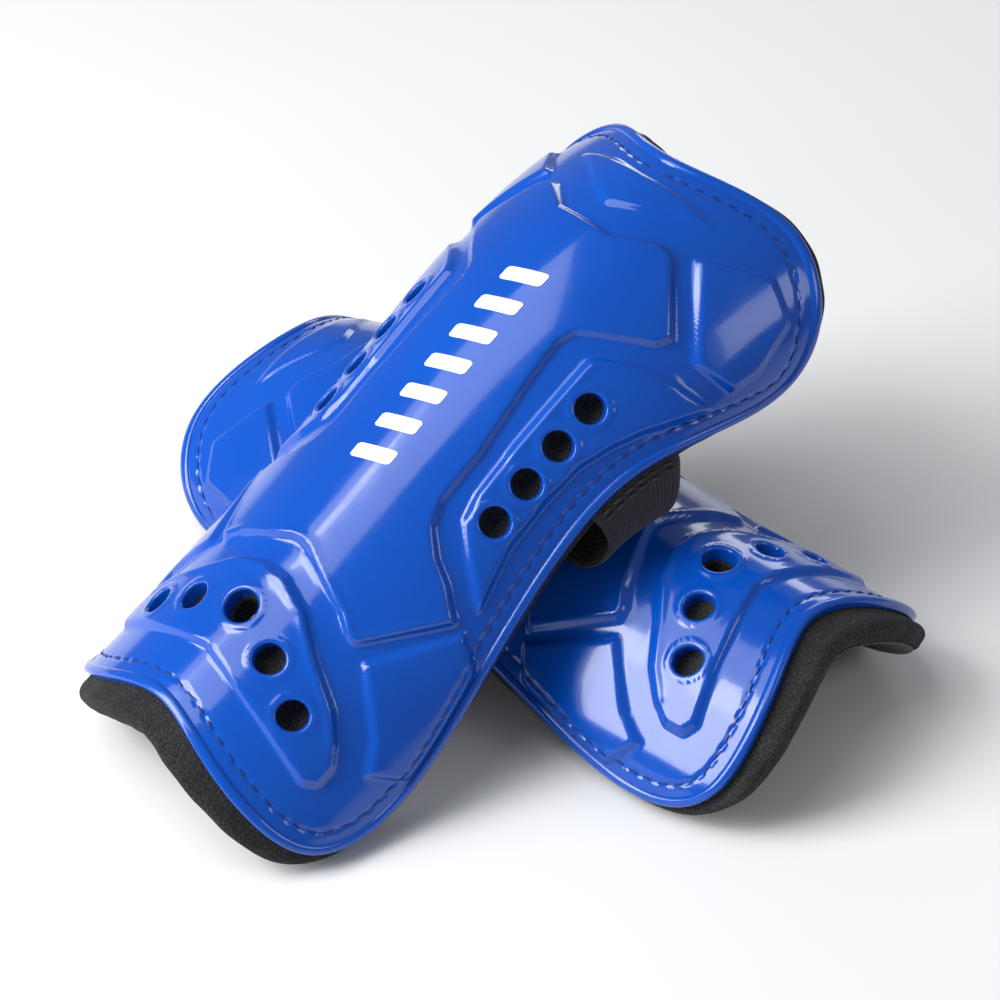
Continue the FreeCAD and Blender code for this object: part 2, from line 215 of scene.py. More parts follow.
def relief_field():
    """Height of the raised areas over one half of the shell, on an even net."""
    xs = np.arange(-6, 105 * MM_PER_DEGREE, RELIEF_CELL)
    ys = np.arange(-125, 125, RELIEF_CELL)
    px, py = np.meshgrid(xs, ys, indexing="ij")
    px = np.abs(px)
    total = np.zeros(px.shape)
    for corners, height, slope in RELIEF:
        flat = [(a * MM_PER_DEGREE, y) for a, y in corners]
        if corners[0][0] == 0:
            flat = flat + [(-x, y) for x, y in reversed(flat) if x > 0]
        total = np.maximum(total, height * smooth(polygon_depth(px, py, flat) / slope + 0.5))
    for path, height, half_width in RIDGES:
        flat = [(a * MM_PER_DEGREE, y) for a, y in path]
        off = -polygon_depth(px, py, flat + flat[-2:0:-1])
        total = total + height * np.exp(-(off / half_width) ** 2)
    reach = np.arange(-8, 9)
    kernel = np.exp(-0.5 * (reach * RELIEF_CELL / RELIEF_BLUR) ** 2)
    kernel /= kernel.sum()
    for axis in (0, 1):
        total = sum(k * np.roll(total, shift, axis) for k, shift in zip(kernel, reach))
    return xs, ys, total


FIELD_X, FIELD_Y, FIELD = relief_field()


def relief(angle, y):
    """Height of the raised areas at places on the shell, read off the net."""
    x = np.abs(np.degrees(angle)) * MM_PER_DEGREE
    i = np.clip((x - FIELD_X[0]) / RELIEF_CELL, 0, len(FIELD_X) - 2.001)
    j = np.clip((y - FIELD_Y[0]) / RELIEF_CELL, 0, len(FIELD_Y) - 2.001)
    i0 = i.astype(int)
    j0 = j.astype(int)
    u = i - i0
    v = j - j0
    return ((1 - u) * (1 - v) * FIELD[i0, j0] + u * (1 - v) * FIELD[i0 + 1, j0]
            + (1 - u) * v * FIELD[i0, j0 + 1] + u * v * FIELD[i0 + 1, j0 + 1])


def hole_places():
    notch = edge(np.array(float(STATIONS)))[1]
    places = [(math.radians(angle), notch + rise) for angle, rise in ANKLE_HOLES]
    places += [(-angle, y) for angle, y in places if angle]
    rows = [FLANK_HOLE_Y + FLANK_HOLE_PITCH * (k - 1.5) for k in range(4)]
    places += [(side * math.radians(FLANK_HOLE_ANGLE), y) for side in (1, -1) for y in rows]
    return places


HOLES = hole_places()


def scales(angle, y):
    """Millimetres of face per radian round the leg and per millimetre of y at one place."""
    around = surface(angle + 1e-4, y) - surface(angle - 1e-4, y)
    along = surface(angle, y + 1e-4) - surface(angle, y - 1e-4)
    return np.linalg.norm(around) / 2e-4, np.linalg.norm(along) / 2e-4


def hole_radius(hole):
    return (HOLE_D if hole[0] else MIDDLE_HOLE_D) / 2


def from_hole(angle, y, hole):
    """Distance along the face from a hole's middle."""
    around, along = scales(*hole)
    return np.hypot((angle - hole[0]) * around, (y - hole[1]) * along)


def shell_height(angle, y):
    """How far the face stands off the plain one: panels and the holes' lips, without the rolled edge."""
    height = relief(angle, y)
    for hole in HOLES:
        d = from_hole(angle, y, hole) - hole_radius(hole)
        height = height + LIP_HEIGHT * np.exp(-((d - LIP_OUT) / LIP_WIDTH) ** 2)
    return height


# ---- where the two guards are ----
def turn(axis, degrees):
    return np.array(Matrix.Rotation(math.radians(degrees), 3, axis))


def foam_reach(rotation):
    """How far the foam reaches below the guard's origin once it is turned."""
    s = np.arange(8 * STATIONS) / 4
    place = shifted_edge(s, overhang(s))
    return -min((outer(*place, -d) @ rotation.T)[:, 2].min() for d in (SHELL_T, SHELL_T + FOAM_T))


lower_turn = turn("X", LOWER_PITCH)
upper_turn = turn("Z", UPPER_YAW) @ turn("Y", UPPER_ROLL) @ turn("X", UPPER_PITCH)
PLACES = {
    "lower": (lower_turn, np.array([0, 0, foam_reach(lower_turn)])),
    "upper": (upper_turn, np.array([UPPER_X, UPPER_Y, foam_reach(upper_turn)])),
}


def to_row(guard, points):
    rotation, origin = PLACES[guard]
    return points @ rotation.T + origin


# ---- materials ----
def node(tree, kind, inputs=(), **settings):
    """A shader node with some sockets set or linked, and its own settings."""
    made = tree.nodes.new("ShaderNode" + kind)
    for key, value in settings.items():
        setattr(made, key, value)
    for key, value in dict(inputs).items():
        if isinstance(value, bpy.types.NodeSocket):
            tree.links.new(value, made.inputs[key])
        else:
            made.inputs[key].default_value = value
    return made


def new_material(name, **sockets):
    material = bpy.data.materials.new(name)
    material.use_nodes = True
    tree = material.node_tree
    shader = tree.nodes["Principled BSDF"]
    for key, value in sockets.items():
        shader.inputs[key.replace("_", " ")].default_value = value
    return material, tree, shader


def ramp(tree, value, stops):
    """Colours blended by a value; stops are (position, colour)."""
    made = node(tree, "ValToRGB", {"Fac": value})
    elements = made.color_ramp.elements
    while len(elements) < len(stops):
        elements.new(0.5)
    for element, (position, colour) in zip(elements, stops):
        element.position = position
        element.color = (*colour, 1)
    return made.outputs["Color"]


def between(tree, value, low, high):
    """A 0 to 1 value spread over low to high."""
    made = node(tree, "MapRange", {"Value": value, "To Min": low, "To Max": high})
    return made.outputs["Result"]


def noise(tree, scale, detail=3.0, roughness=0.5, stretch=(1, 1, 1)):
    """Noise in millimetres: scale is in features per millimetre."""
    place = node(tree, "TexCoord").outputs["Object"]
    spread = [1000 * scale * s for s in stretch]
    moved = node(tree, "Mapping", {"Vector": place, "Scale": spread}).outputs["Vector"]
    made = node(tree, "TexNoise", {"Vector": moved, "Scale": 1.0, "Detail": detail, "Roughness": roughness})
    return made.outputs["Fac"]


def bump(tree, shader, height, strength, distance, under=None):
    inputs = {"Height": height, "Strength": strength, "Distance": distance * MM}
    if under is not None:
        inputs["Normal"] = under
    made = node(tree, "Bump", inputs)
    tree.links.new(made.outputs["Normal"], shader.inputs["Normal"])
    return made.outputs["Normal"]


def plastic_material():
    """Glossy injection-moulded blue: faint flow marks, smears and hairline scratches."""
    material, tree, shader = new_material("blue_plastic", IOR=1.45, Coat_Weight=0.22, Coat_Roughness=0.03)
    cloudy = noise(tree, 0.02, 2.0)
    colour = ramp(tree, cloudy, [(0.3, (0.0010, 0.062, 0.40)), (0.7, (0.0014, 0.078, 0.48))])
    tree.links.new(colour, shader.inputs["Base Color"])
    smears = noise(tree, 0.06, 4.0, 0.6)
    scratches = noise(tree, 1.1, 2.0, 0.5, (0.05, 1, 1))
    mixed = node(tree, "Math", {0: smears, 1: scratches}, operation="MULTIPLY").outputs["Value"]
    rough = node(tree, "MapRange", {"Value": mixed, "From Min": 0.1, "From Max": 0.5, "To Min": 0.09,
                                    "To Max": 0.24}).outputs["Result"]
    tree.links.new(rough, shader.inputs["Roughness"])
    swell = noise(tree, 0.045, 1.0)
    soft = bump(tree, shader, swell, 0.35, 0.5)
    peel = noise(tree, 0.55, 2.0)
    bump(tree, shader, peel, 0.12, 0.03, soft)
    return material


def foam_material():
    """Charcoal closed-cell foam with a fine open skin."""
    material, tree, shader = new_material("charcoal_foam", Roughness=0.92, IOR=1.4)
    place = node(tree, "TexCoord").outputs["Object"]
    cells = node(tree, "TexVoronoi", {"Vector": place, "Scale": 1300.0, "Randomness": 1.0})
    grain = noise(tree, 2.0, 4.0, 0.75)
    cloudy = noise(tree, 0.09, 3.0)
    shade = node(tree, "Math", {0: grain, 1: between(tree, cloudy, -0.08, 0.08)},
                 operation="ADD").outputs["Value"]
    colour = ramp(tree, shade, [(0.40, (0.006, 0.006, 0.007)), (0.51, (0.019, 0.018, 0.019)),
                                (0.62, (0.055, 0.052, 0.053))])
    tree.links.new(colour, shader.inputs["Base Color"])
    rough = between(tree, grain, 0.84, 0.98)
    tree.links.new(rough, shader.inputs["Roughness"])
    pores = bump(tree, shader, cells.outputs["Distance"], 0.6, 0.3)
    bump(tree, shader, grain, 0.8, 0.5, pores)
    return material


def knit_material():
    """Black brushed knit: columns of small loops."""
    material, tree, shader = new_material("knit_lining", Roughness=0.95, Sheen_Weight=0.35,
                                          Sheen_Roughness=0.5)
    place = node(tree, "TexCoord").outputs["Object"]
    wales = node(tree, "TexWave", {"Vector": place, "Scale": 420.0, "Distortion": 1.2, "Detail": 1.0},
                 bands_direction="X")
    courses = node(tree, "TexWave", {"Vector": place, "Scale": 520.0, "Distortion": 1.6, "Detail": 1.0},
                   bands_direction="Y")
    loops = node(tree, "Math", {0: wales.outputs["Fac"], 1: courses.outputs["Fac"]},
                 operation="MULTIPLY").outputs["Value"]
    colour = ramp(tree, loops, [(0.0, (0.004, 0.004, 0.005)), (1.0, (0.03, 0.03, 0.033))])
    tree.links.new(colour, shader.inputs["Base Color"])
    knit = bump(tree, shader, loops, 0.7, 0.25)
    bump(tree, shader, noise(tree, 3.0, 3.0, 0.7), 0.4, 0.12, knit)
    return material


def elastic_material():
    """Black ribbed elastic with fine cross threads."""
    material, tree, shader = new_material("black_elastic", Roughness=0.78, Sheen_Weight=0.25,
                                          Sheen_Roughness=0.4)
    place = node(tree, "TexCoord").outputs["Object"]
    threads = node(tree, "TexWave", {"Vector": place, "Scale": 330.0, "Distortion": 0.8, "Detail": 2.0},
                   bands_direction="Z")
    fuzz = noise(tree, 2.2, 3.0, 0.7)
    mixed = node(tree, "Math", {0: threads.outputs["Fac"], 1: fuzz}, operation="MULTIPLY").outputs["Value"]
    colour = ramp(tree, mixed, [(0.1, (0.004, 0.004, 0.005)), (0.6, (0.026, 0.026, 0.03))])
    tree.links.new(colour, shader.inputs["Base Color"])
    rough = between(tree, fuzz, 0.66, 0.9)
    tree.links.new(rough, shader.inputs["Roughness"])
    bump(tree, shader, mixed, 0.6, 0.15)
    return material


def nap_material():
    """Black hook-and-loop pile."""
    material, tree, shader = new_material("hook_loop_pile", Roughness=0.9, Sheen_Weight=0.5,
                                          Sheen_Roughness=0.35)
    place = node(tree, "TexCoord").outputs["Object"]
    tufts = node(tree, "TexVoronoi", {"Vector": place, "Scale": 900.0}, feature="F1")
    fuzz = noise(tree, 3.0, 4.0, 0.75)
    mixed = node(tree, "Math", {0: tufts.outputs["Distance"], 1: fuzz},
                 operation="MULTIPLY").outputs["Value"]
    colour = ramp(tree, mixed, [(0.05, (0.02, 0.02, 0.022)), (0.5, (0.005, 0.005, 0.006))])
    tree.links.new(colour, shader.inputs["Base Color"])
    bump(tree, shader, mixed, 0.8, 0.4)
    return material


def thread_material(name, dark, light):
    """Twisted thread: light and dark strands."""
    material, tree, shader = new_material(name, Roughness=0.6)
    place = node(tree, "TexCoord").outputs["Object"]
    twist = node(tree, "TexWave", {"Vector": place, "Scale": 700.0, "Distortion": 1.0},
                 bands_direction="DIAGONAL")
    colour = ramp(tree, twist.outputs["Fac"], [(0.2, dark), (0.8, light)])
    tree.links.new(colour, shader.inputs["Base Color"])
    bump(tree, shader, twist.outputs["Fac"], 0.6, 0.12)
    return material


def print_material():
    """White ink, slightly uneven, on the plastic's gloss."""
    material, tree, shader = new_material("white_ink", Roughness=0.32, IOR=1.48)
    patchy = noise(tree, 0.5, 4.0, 0.6)
    colour = ramp(tree, patchy, [(0.35, (0.80, 0.81, 0.84)), (0.6, (0.93, 0.94, 0.96))])
    tree.links.new(colour, shader.inputs["Base Color"])
    rough = between(tree, patchy, 0.24, 0.42)
    tree.links.new(rough, shader.inputs["Roughness"])
    bump(tree, shader, noise(tree, 1.8, 2.0), 0.2, 0.04)
    return material


BLUE_THREAD = thread_material("blue_thread", (0.001, 0.012, 0.09), (0.002, 0.034, 0.24))
BLACK_THREAD = thread_material("black_thread", (0.004, 0.004, 0.005), (0.03, 0.03, 0.033))
MATERIALS = {
    "shell_plastic": plastic_material(),
    "foam": foam_material(),
    "lining_cloth": knit_material(),
    "elastic": elastic_material(),
    "hook_and_loop": nap_material(),
    "thread": BLUE_THREAD,
    "white_print": print_material(),
}


def finish_piece(piece, body, slot, nodes):
    """Gives a piece its material and its body, and hides the CAD nodes that it stands for."""
    material = BLACK_THREAD if slot == "thread" and "edge" not in piece.name else MATERIALS[slot]
    piece.data.materials.append(material)
    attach(piece, body)
    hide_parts(*nodes)


# ---- meshes ----
class Build:
    """Points, normals and quads of one mesh, in millimetres."""

    def __init__(self):
        self.points = []
        self.normals = []
        self.quads = []
        self.count = 0

    def add(self, points, normals):
        """Takes an array of points and gives back their numbers in the same layout."""
        shape = points.shape[:-1]
        self.points.append(points.reshape(-1, 3))
        self.normals.append(normals.reshape(-1, 3))
        first = self.count
        self.count += int(np.prod(shape))
        return np.arange(first, self.count).reshape(shape)

    def net(self, index, keep=None, flip=False, closed=False):
        """Quads between neighbours of a net of point numbers; closed joins the last column to the first."""
        if closed:
            index = np.concatenate([index, index[:, :1]], 1)
        quads = np.stack([index[:-1, :-1], index[1:, :-1], index[1:, 1:], index[:-1, 1:]], -1)
        quads = quads.reshape(-1, 4) if keep is None else quads[keep]
        self.quads.append(quads[:, ::-1] if flip else quads)

    def make(self, name, guard=None):
        """The mesh as an object; guard says whose frame the points are in, if not the row's."""
        points = np.concatenate(self.points)
        normals = np.concatenate(self.normals)
        quads = np.concatenate(self.quads)
        if guard:
            points = to_row(guard, points)
            normals = normals @ PLACES[guard][0].T
        used, quads = np.unique(quads, return_inverse=True)
        quads = quads.reshape(-1, 4)
        mesh = bpy.data.meshes.new(name)
        mesh.from_pydata((points[used] * MM).tolist(), [], quads.tolist())
        mesh.polygons.foreach_set("use_smooth", np.full(len(mesh.polygons), True))
        mesh.update()
        mesh.normals_split_custom_set_from_vertices(unit(normals[used]).tolist())
        piece = bpy.data.objects.new(name, mesh)
        bpy.context.scene.collection.objects.link(piece)
        return piece


def net_normals(points, closed=False, flip=False):
    """Normals of a net of points from its neighbours; columns run round a closed rim if closed."""
    down = np.gradient(points, axis=0)
    if closed:
        along = np.roll(points, -1, 1) - np.roll(points, 1, 1)
    else:
        along = np.gradient(points, axis=1)
    normals = np.cross(down, along)
    size = np.linalg.norm(normals, axis=-1, keepdims=True)
    normals = normals / np.maximum(size, 1e-12)
    return -normals if flip else normals


def patch_places(border, across, along):
    """Angle and y over the area inside a border, as a four-sided net."""
    u = np.linspace(0, 1, across)[:, None]
    v = np.linspace(0, 1, along)[None, :]
    bottom = np.stack(border(STATIONS + (1 - 2 * u) * (STATIONS - ANKLE_CORNER)))
    top = np.stack(border((2 * u - 1) * KNEE_CORNER))
    right = np.stack(border(ANKLE_CORNER + v * (KNEE_CORNER - ANKLE_CORNER)))
    left = np.stack(border(-ANKLE_CORNER - v * (KNEE_CORNER - ANKLE_CORNER)))
    sides = (1 - v) * bottom + v * top + (1 - u) * left + u * right
    corners = (1 - u) * ((1 - v) * bottom[:, :1] + v * top[:, :1])
    corners = corners + u * ((1 - v) * bottom[:, -1:] + v * top[:, -1:])
    return sides - corners


def round_the_rim(net):
    """The outermost entries of a net, once round."""
    return np.concatenate([net[:-1, 0], net[-1, :-1], net[:0:-1, -1], net[0, :0:-1]])


def rim_stations(across, along):
    """Stations on the edge that go with round_the_rim."""
    ankle = STATIONS - ANKLE_CORNER
    sides = [(STATIONS + ankle, ANKLE_CORNER, across), (ANKLE_CORNER, KNEE_CORNER, along),
             (KNEE_CORNER, -KNEE_CORNER, across), (-KNEE_CORNER, -ANKLE_CORNER, along)]
    return np.concatenate([np.linspace(a, b, count)[:-1] for a, b, count in sides])


def face_normals(height, angle, y):
    """Normals of the displaced face, from its slopes."""
    step = 0.3
    da = step / HALF_WIDTH
    around = outer(angle + da, y, height(angle + da, y)) - outer(angle - da, y, height(angle - da, y))
    ahead = outer(angle, y + step, height(angle, y + step))
    behind = outer(angle, y - step, height(angle, y - step))
    return unit(np.cross(around, ahead - behind))


COLLAR = 0.9             # from a hole's wall to where its own rows meet the net
COLLAR_ROOM = 0.45       # how far the net's next points are moved out to make room
COLLAR_REACH = 2.6       # how far out that moving goes
EVENING = 0.6            # how evenly the net's points are shared out round a hole
HOLE_ROWS = (0.6, 0.35, 0.15, 0.03, 0.0)  # rows over a hole's rounded edge, as shares of the rounding
WALL_ROWS = (0.4, 0.8, 1.0)  # rows down its wall, as shares of the depth


def walk_round(cut):
    """The net's points once round some of its faces, counterclockwise."""
    after = {}
    for i, j in np.argwhere(cut):
        sides = (((i, j), (i + 1, j), (i, j - 1)), ((i + 1, j), (i + 1, j + 1), (i + 1, j)),
                 ((i + 1, j + 1), (i, j + 1), (i, j + 1)), ((i, j + 1), (i, j), (i - 1, j)))
        for corner, following, beside in sides:
            if not cut[beside]:
                after[corner] = following
    loop = [min(after)]
    while after[loop[-1]] != loop[0]:
        loop.append(after[loop[-1]])
    return np.array(loop).T


def layer_mesh(name, guard, counts, border, rim, top, bottom, holes):
    """A closed layer over a guard.

    top and bottom give the lift of its faces, rim the places and lifts of the rows over its edge,
    and holes are (angle, y, radius, rounding).
    """
    build = Build()
    angle, y = patch_places(border, *counts)
    middle_angle = (angle[:-1, :-1] + angle[1:, 1:]) / 2
    middle_y = (y[:-1, :-1] + y[1:, 1:]) / 2
    keep = np.ones(middle_y.shape, bool)
    loops = []
    for hole_angle, hole_y, radius, rounding in holes:
        around, along = scales(hole_angle, hole_y)
        cut = from_hole(middle_angle, middle_y, (hole_angle, hole_y)) < radius + COLLAR
        keep &= ~cut
        across, up = walk_round(cut)
        dx = (angle - hole_angle) * around
        dy = (y - hole_y) * along
        beyond = np.hypot(dx, dy) - radius - COLLAR
        room = 1 + COLLAR_ROOM * np.clip(1 - beyond / COLLAR_REACH, 0, 1) / (beyond + radius + COLLAR)
        spread = (beyond < COLLAR_REACH) & (beyond > -COLLAR)
        angle[spread] = hole_angle + (dx * room)[spread] / around
        y[spread] = hole_y + (dy * room)[spread] / along
        heading = np.unwrap(np.arctan2(dy[across, up], dx[across, up]))
        even = 2 * np.pi * np.arange(len(heading)) / len(heading)
        heading = (1 - EVENING) * heading + EVENING * (even + np.mean(heading - even))
        angle[across, up] = hole_angle + (radius + COLLAR) * np.cos(heading) / around
        y[across, up] = hole_y + (radius + COLLAR) * np.sin(heading) / along
        loops.append((heading, across, up, around, along))
    upper = build.add(outer(angle, y, top(angle, y)), face_normals(top, angle, y))
    lower = build.add(outer(angle, y, bottom(angle, y)), -face_normals(bottom, angle, y))
    build.net(upper, keep)
    build.net(lower, keep, flip=True)

    rim_angle, rim_y, rim_lift = rim(rim_stations(*counts))
    points = outer(rim_angle, rim_y, rim_lift)
    index = build.add(points, net_normals(points, closed=True))
    index[0] = round_the_rim(upper)
    index[-1] = round_the_rim(lower)
    build.net(index, closed=True)

    for (hole_angle, hole_y, radius, rounding), (heading, across, up, around, along) in zip(holes, loops):
        rows = []
        for d in (COLLAR, *(share * rounding for share in HOLE_ROWS)):
            a = hole_angle + (radius + d) * np.cos(heading) / around
            b = hole_y + (radius + d) * np.sin(heading) / along
            inside = max(rounding - d, 0)
            drop = rounding - math.sqrt(rounding ** 2 - inside ** 2)
            rows.append(outer(a, b, top(a, b) - drop))
        wall_top = rows[-1]
        wall_foot = outer(a, b, bottom(a, b))
        rows += [wall_top + (wall_foot - wall_top) * part for part in WALL_ROWS]
        rows.append(wall_foot)
        points = np.stack(rows)
        index = build.add(points, net_normals(points, closed=True, flip=True))
        index[0] = upper[across, up]
        index[-1] = lower[across, up]
        build.net(index, closed=True, flip=True)
    return build.make(name, guard)


# ---- shell ----
SHELL_NET = (141, 241)   # points across and along
SHELL_INSET = 9.0        # how far in from the edge the net ends and the rim's rows start
HOLE_ROUND = 0.7         # rounding of a hole's edge
BEAD_FOOT = 3.2          # how far in from the edge the face starts to rise to its panels
PANEL_FADE = 2.2
SEAM_DEPTH = 0.16        # how deep the seam pulls the plastic in
PIT_DEPTH = 0.38         # and how much deeper at each needle hole


def stitch_line():
    """Lengths along the stitch line, and the stations they belong to."""
    s = np.linspace(0, 2 * STATIONS, 3000)
    points = outer(*shifted_edge(s, -STITCH_INSET))
    steps = np.linalg.norm(np.diff(points, axis=0), axis=-1)
    return s, np.concatenate([[0], np.cumsum(steps)])


LINE_S, LINE_LENGTH = stitch_line()


def length_at(s):
    """Length along the stitch line at stations."""
    return np.interp(np.asarray(s) % (2 * STATIONS), LINE_S, LINE_LENGTH)


def thread_bite(s, inset):
    """How deep the seam pulls the plastic in: a shallow channel with a pit at each needle hole."""
    off = inset - STITCH_INSET
    along = (length_at(s) + STITCH_PITCH / 2) % STITCH_PITCH - STITCH_PITCH / 2
    from_pit = np.abs(np.abs(along) - STITCH_LENGTH / 2 - 0.2)
    pit = np.exp(-(from_pit / 0.5) ** 2 - (off / 0.6) ** 2)
    return -SEAM_DEPTH * np.exp(-(off / 0.8) ** 2) - PIT_DEPTH * pit


def shell_rim(s):
    """Rows over the shell's edge: the seam's flat, the rolled edge, the wall and the underside."""
    insets = list(np.arange(SHELL_INSET, BEAD_FOOT, -0.5)) + [3.25, 3.08]
    rows = [(inset, 0.0, 1.0) for inset in insets]
    bead = [math.pi * k / 10 for k in range(11)]
    rows += [(BEAD_WIDTH / 2 * (1 + math.cos(t)), BEAD_HEIGHT * math.sin(t), 0.0) for t in bead]
    rows += [(0.0, -0.6, 0.0), (0.0, -1.3, 0.0), (0.03, -1.8, 0.0), (0.2, -SHELL_T, 0.0)]
    rows += [(inset, -SHELL_T, 0.0) for inset in (2.0, 4.5, SHELL_INSET)]
    angles, ys, lifts = [], [], []
    for inset, lift, carries in rows:
        angle, y = shifted_edge(s, -inset)
        fade = smooth((inset - BEAD_FOOT) / PANEL_FADE) * carries
        angles.append(angle)
        ys.append(y)
        lifts.append(lift + fade * shell_height(angle, y) + carries * thread_bite(s, inset))
    return np.stack(angles), np.stack(ys), np.stack(lifts)


def level(lift):
    """A face at one lift all over."""
    return lambda angle, y: np.full(np.shape(y), lift)


def shell(guard):
    holes = [hole + (hole_radius(hole), HOLE_ROUND) for hole in HOLES]
    piece = layer_mesh(guard + "_moulded_shell", guard, SHELL_NET, lambda s: shifted_edge(s, -SHELL_INSET),
                       shell_rim, shell_height, level(-SHELL_T), holes)
    finish_piece(piece, guard + "_guard", "shell_plastic", [guard + "_shell"])


# ---- foam and lining ----
FOAM_NET = (101, 171)
LINING_NET = (71, 121)
LINING_INSET = 0.8       # lining's edge, in from the foam's
FOAM_TRIM = 0.8          # foam's edge, in from the CAD stand-in's
FOAM_SINK = 0.35         # step down in the foam's face just outside the shell
FOAM_ROUND = 2.2
FOAM_ROUND_UNDER = 2.0
FOAM_INSIDE = 3.0        # how far in under the shell the rim's rows start
FOAM_TOP = -SHELL_T - BOND_GAP
FOAM_BOTTOM = -SHELL_T - FOAM_T
LINING_TOP = FOAM_BOTTOM - BOND_GAP
LINING_BOTTOM = LINING_TOP - LINING_T


def rim_rows(s, rows):
    """Angles, y and lifts of rows round the rim; rows are (distance out from the edge, lift)."""
    places = [shifted_edge(s, out) for out, _ in rows]
    lifts = [np.full(s.shape, lift) for _, lift in rows]
    return np.stack([p[0] for p in places]), np.stack([p[1] for p in places]), np.stack(lifts)


def foam_top(angle, y):
    """Foam under the shell, hollowed a little below each hole."""
    lift = np.full(np.shape(y), FOAM_TOP)
    for hole in HOLES[1:]:
        d = from_hole(angle, y, hole) / hole_radius(hole)
        lift = lift - 1.4 * smooth((1.1 - d) * 1.6)
    return lift


def foam_rim(s):
    """Rows over the foam's edge, which is rounded and a little wavy."""
    out = overhang(s) - FOAM_TRIM
    waves = 0.14 * np.sin(length_at(s) * 0.21) + 0.1 * np.sin(length_at(s) * 0.53 + 1.3)
    rows = []
    for part in np.linspace(0, 1, 7):
        sink = FOAM_SINK * smooth((part - 0.35) / 0.25)
        rows.append((-FOAM_INSIDE + (out - FOAM_ROUND + FOAM_INSIDE) * part, FOAM_TOP - sink))
    shoulder = FOAM_TOP - FOAM_SINK
    for t in np.pi / 2 * np.arange(1, 7) / 6:
        rows.append((out - FOAM_ROUND * (1 - np.sin(t)) + waves, shoulder - FOAM_ROUND * (1 - np.cos(t))))
    rows.append((out + waves, (shoulder + FOAM_BOTTOM) / 2))
    for t in np.pi / 2 * np.arange(6) / 6:
        rows.append((out - FOAM_ROUND_UNDER * (1 - np.cos(t)) + waves,
                     FOAM_BOTTOM + FOAM_ROUND_UNDER * (1 - np.sin(t))))
    rows.append((out - 1.2 * FOAM_ROUND_UNDER, FOAM_BOTTOM))
    rows.append((-FOAM_INSIDE, FOAM_BOTTOM))
    return rim_rows(s, rows)


def foam_pad(guard):
    hole = [HOLES[0] + (PERFORATION_D / 2, 0.8)]
    piece = layer_mesh(guard + "_foam_layer", guard, FOAM_NET, lambda s: shifted_edge(s, -FOAM_INSIDE),
                       foam_rim, foam_top, level(FOAM_BOTTOM), hole)
    finish_piece(piece, guard + "_guard", "foam", [guard + "_foam_pad"])


def lining_rim(s):
    out = overhang(s) - FOAM_TRIM - LINING_INSET
    middle = (LINING_TOP + LINING_BOTTOM) / 2
    over = [(-FOAM_INSIDE, LINING_TOP), (out * 0.5, LINING_TOP), (out, LINING_TOP), (out, middle)]
    under = [(out * 0.93, LINING_BOTTOM), (out * 0.5, LINING_BOTTOM), (-FOAM_INSIDE, LINING_BOTTOM)]
    return rim_rows(s, over + under)


def lining(guard):
    hole = [HOLES[0] + (PERFORATION_D / 2 + 0.4, 0.3)]
    piece = layer_mesh(guard + "_knit_lining", guard, LINING_NET, lambda s: shifted_edge(s, -FOAM_INSIDE),
                       lining_rim, level(LINING_TOP), level(LINING_BOTTOM), hole)
    finish_piece(piece, guard + "_guard", "lining_cloth", [guard + "_lining"])


# ---- thread ----
SEAM_RADIUS = 0.27       # edge stitches, pulled tight into the plastic
SEAM_SINK = 0.2
SEAM_WOBBLE = 0.2        # how far a stitch leans off the line at its ends
STITCH_DIVE = 0.45       # how deep a stitch's ends go in
STITCH_ARCH = 0.62       # how far its middle rises above them


def add_tube(build, centres, radii, sides=6):
    """A closed tube along a few points, with rounded-off ends."""
    along = unit(np.gradient(centres, axis=0))
    side = unit(np.cross(along, [0.0, 0.0, 1.0]) + 1e-9)
    up = np.cross(side, along)
    turns = 2 * np.pi * np.arange(sides) / sides
    ring = side[:, None] * np.cos(turns)[None, :, None] + up[:, None] * np.sin(turns)[None, :, None]
    points = centres[:, None] + ring * np.asarray(radii)[:, None, None]
    index = build.add(points, ring)
    build.net(index, closed=True)


def add_stitch(build, line, normals, radius):
    """One stitch over a short line of points: it rises out of one needle hole and dives into the next."""
    count = len(line)
    arch = np.sin(np.pi * np.arange(count) / (count - 1))
    centres = line + normals * (-STITCH_DIVE + STITCH_ARCH * arch ** 0.6)[:, None]
    add_tube(build, centres, radius * (0.25 + 0.75 * np.minimum(1, arch * 2.2)))


def edge_stitching(guard):
    build = Build()
    total = LINE_LENGTH[-1]
    for k in range(1, int(total / STITCH_PITCH) + 1):
        lengths = k * STITCH_PITCH + STITCH_LENGTH * np.linspace(-0.5, 0.5, 7)
        if lengths[-1] > total:
            break
        s = np.interp(lengths, LINE_LENGTH, LINE_S)
        wobble = SEAM_WOBBLE * math.sin(k * 2.4) * np.linspace(-1, 1, 7)
        angle, y = shifted_edge(s, -STITCH_INSET + wobble)
        line = outer(angle, y, shell_height(angle, y) - SEAM_SINK)
        add_stitch(build, line, normal(angle, y), SEAM_RADIUS)
    piece = build.make(guard + "_edge_seam", guard)
    finish_piece(piece, guard + "_guard", "thread", [guard + "_edge_stitching"])


# ---- printed bars ----
INK_T = 0.14
INK_DEPTH = 0.3          # how far the bars' closed undersides go into the plastic


